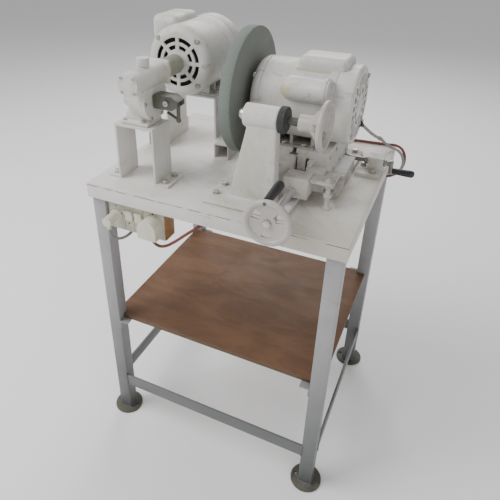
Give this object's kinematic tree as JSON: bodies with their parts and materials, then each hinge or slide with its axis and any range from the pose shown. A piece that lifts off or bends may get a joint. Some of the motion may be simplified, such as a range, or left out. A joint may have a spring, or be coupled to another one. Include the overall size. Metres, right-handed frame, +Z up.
{
  "type": "faceting machine",
  "caption": "Table-mounted faceting machine: a worm-geared work head and a tailstock on one axis, and a motor-driven grinding wheel on a hand-fed cross slide.",
  "frame": {"origin": "on the floor, under the middle of the table, at the centre of the four foot anchor holes", "axes": "+X right along the work axis towards the tailstock's handwheel, +Y to the back, +Z up"},
  "size_m": [0.6933, 0.5865, 1.1009],
  "materials": {
    "white_paint": "off-white paint, stained and scuffed",
    "motor_paint": "light grey-white paint with yellow stains",
    "bright_steel": "zinc plated or machined steel",
    "dark_steel": "dark oiled steel",
    "cast_steel": "laminations and shaft, dull",
    "plywood": "brown mottled plywood",
    "box_wood": "orange-brown varnished wood",
    "bronze": "machined bronze",
    "olive_rubber": "smooth olive-grey rubber",
    "black_plastic": "black moulded plastic",
    "cream_plastic": "cream moulded plastic",
    "abrasive": null,
    "red_cord": "red-brown sheathed cord",
    "grey_cord": "grey sheathed cord"
  },
  "bodies": {
    "frame": {"table_top": "white_paint", "apron_rails": "white_paint", "leg_tubes": "white_paint", "foot_plates": "white_paint", "stretchers_and_cleats": "white_paint", "shelf_board": "plywood", "hex_bolts": "bright_steel", "small_screws": "bright_steel", "gearbox_bracket": "white_paint", "gearbox_housing": "white_paint", "gearbox_covers": "white_paint", "gearbox_bearings": "bright_steel", "motor1_stand": "white_paint", "motor1_foot": "motor_paint", "motor1_shell": "motor_paint", "motor1_end_bells": "motor_paint", "motor1_stator": "cast_steel", "motor1_capacitor_cover": "motor_paint", "slide_base": "white_paint", "x_screw_block": "white_paint", "tail_column": "white_paint", "socket_box": "box_wood", "socket_plate": "cream_plastic", "plug_left": "cream_plastic", "plug_right": "cream_plastic", "cable_clips": "cream_plastic", "motor1_lead": "red_cord", "motor2_lead_lower": "grey_cord"},
    "worm_drive": {"worm_shaft": "bright_steel", "shaft_coupling": "olive_rubber", "motor1_rotor": "cast_steel"},
    "output_spindle": {"worm_wheel": "bronze", "output_shaft": "bright_steel", "work_head": "dark_steel", "head_screw": "bright_steel"},
    "clamp_lever": {"clamp_lever": "dark_steel"},
    "cross_slide": {"x_slide": "white_paint", "x_jack": "bright_steel"},
    "x_feed": {"x_feed_screw": "bright_steel"},
    "x_crank_grip": {"x_crank_grip": "black_plastic"},
    "wheel_slide": {"y_slide": "white_paint", "motor2_foot": "bright_steel", "motor2_shell": "motor_paint", "motor2_end_bells": "motor_paint", "motor2_stator": "cast_steel", "motor2_capacitors": "motor_paint", "motor2_bolts": "bright_steel", "motor2_lead_upper": "grey_cord"},
    "y_feed": {"y_feed_screw": "bright_steel"},
    "y_handwheel": {"y_handwheel": "white_paint"},
    "y_handwheel_grip": {"y_handwheel_grip": "black_plastic"},
    "wheel_spindle": {"motor2_rotor": "cast_steel", "grinding_wheel": "abrasive", "wheel_flanges": "bright_steel"},
    "tail_quill": {"tail_quill": "bright_steel"},
    "tail_wheel": {"tail_feed_screw": "dark_steel", "tail_handwheel": "white_paint"},
    "tail_lock_ring": {"tail_lock_ring": "black_plastic"},
    "rocker_left": {"rocker_left": "cream_plastic"},
    "rocker_right": {"rocker_right": "cream_plastic"}
  },
  "joints": [
    {"name": "worm_turn", "type": "hinge", "parent": "frame", "child": "worm_drive", "pos_m": [-0.178, 0, 1.004], "axis": [0, 1, 0], "continuous": true},
    {"name": "spindle_turn", "type": "hinge", "parent": "frame", "child": "output_spindle", "pos_m": [0, -0.172, 0.957], "axis": [1, 0, 0], "continuous": true},
    {"name": "clamp_lever_swing", "type": "hinge", "parent": "output_spindle", "child": "clamp_lever", "pos_m": [-0.105, -0.172, 0.957], "axis": [0, 0, 1], "range_deg": [-90, 90]},
    {"name": "cross_travel", "type": "slide", "parent": "frame", "child": "cross_slide", "axis": [1, 0, 0], "range_m": [-0.015, 0.025]},
    {"name": "x_feed_turn", "type": "hinge", "parent": "frame", "child": "x_feed", "pos_m": [0, 0.09, 0.79], "axis": [1, 0, 0], "range_deg": [-1085, 1805]},
    {"name": "x_crank_grip_spin", "type": "hinge", "parent": "x_feed", "child": "x_crank_grip", "pos_m": [0, 0.10052, 0.76843], "axis": [1, 0, 0], "continuous": true},
    {"name": "wheel_travel", "type": "slide", "parent": "cross_slide", "child": "wheel_slide", "axis": [0, 1, 0], "range_m": [-0.008, 0.04]},
    {"name": "y_feed_turn", "type": "hinge", "parent": "cross_slide", "child": "y_feed", "pos_m": [0.154, 0, 0.799], "axis": [0, 1, 0], "range_deg": [-580, 2885]},
    {"name": "y_handwheel_turn", "type": "hinge", "parent": "cross_slide", "child": "y_handwheel", "pos_m": [0.154, 0, 0.799], "axis": [0, 1, 0], "range_deg": [-100, 100]},
    {"name": "y_handwheel_grip_spin", "type": "hinge", "parent": "y_handwheel", "child": "y_handwheel_grip", "pos_m": [0.1487, 0, 0.84218], "axis": [0, 1, 0], "continuous": true},
    {"name": "wheel_spin", "type": "hinge", "parent": "wheel_slide", "child": "wheel_spindle", "pos_m": [0, -0.024, 0.957], "axis": [1, 0, 0], "continuous": true},
    {"name": "quill_travel", "type": "slide", "parent": "frame", "child": "tail_quill", "axis": [1, 0, 0], "range_m": [-0.02, 0.01]},
    {"name": "tail_wheel_turn", "type": "hinge", "parent": "tail_quill", "child": "tail_wheel", "pos_m": [0, -0.172, 0.957], "axis": [1, 0, 0], "range_deg": [-2885, 1445]},
    {"name": "tail_lock_turn", "type": "hinge", "parent": "frame", "child": "tail_lock_ring", "pos_m": [0, -0.172, 0.957], "axis": [1, 0, 0], "range_deg": [-120, 0]},
    {"name": "rocker_left_tilt", "type": "hinge", "parent": "frame", "child": "rocker_left", "pos_m": [-0.203, -0.249, 0.696], "axis": [1, 0, 0], "range_deg": [-14, 0]},
    {"name": "rocker_right_tilt", "type": "hinge", "parent": "frame", "child": "rocker_right", "pos_m": [-0.177, -0.249, 0.696], "axis": [1, 0, 0], "range_deg": [-14, 0]}
  ],
  "couplings": [
    {"joint": "spindle_turn", "follows": "worm_turn", "ratio": 0.022727},
    {"joint": "x_feed_turn", "follows": "cross_travel", "rad_per_m": 1256.6},
    {"joint": "y_feed_turn", "follows": "wheel_travel", "rad_per_m": 1256.6},
    {"joint": "tail_wheel_turn", "follows": "quill_travel", "rad_per_m": 2513.3}
  ]
}
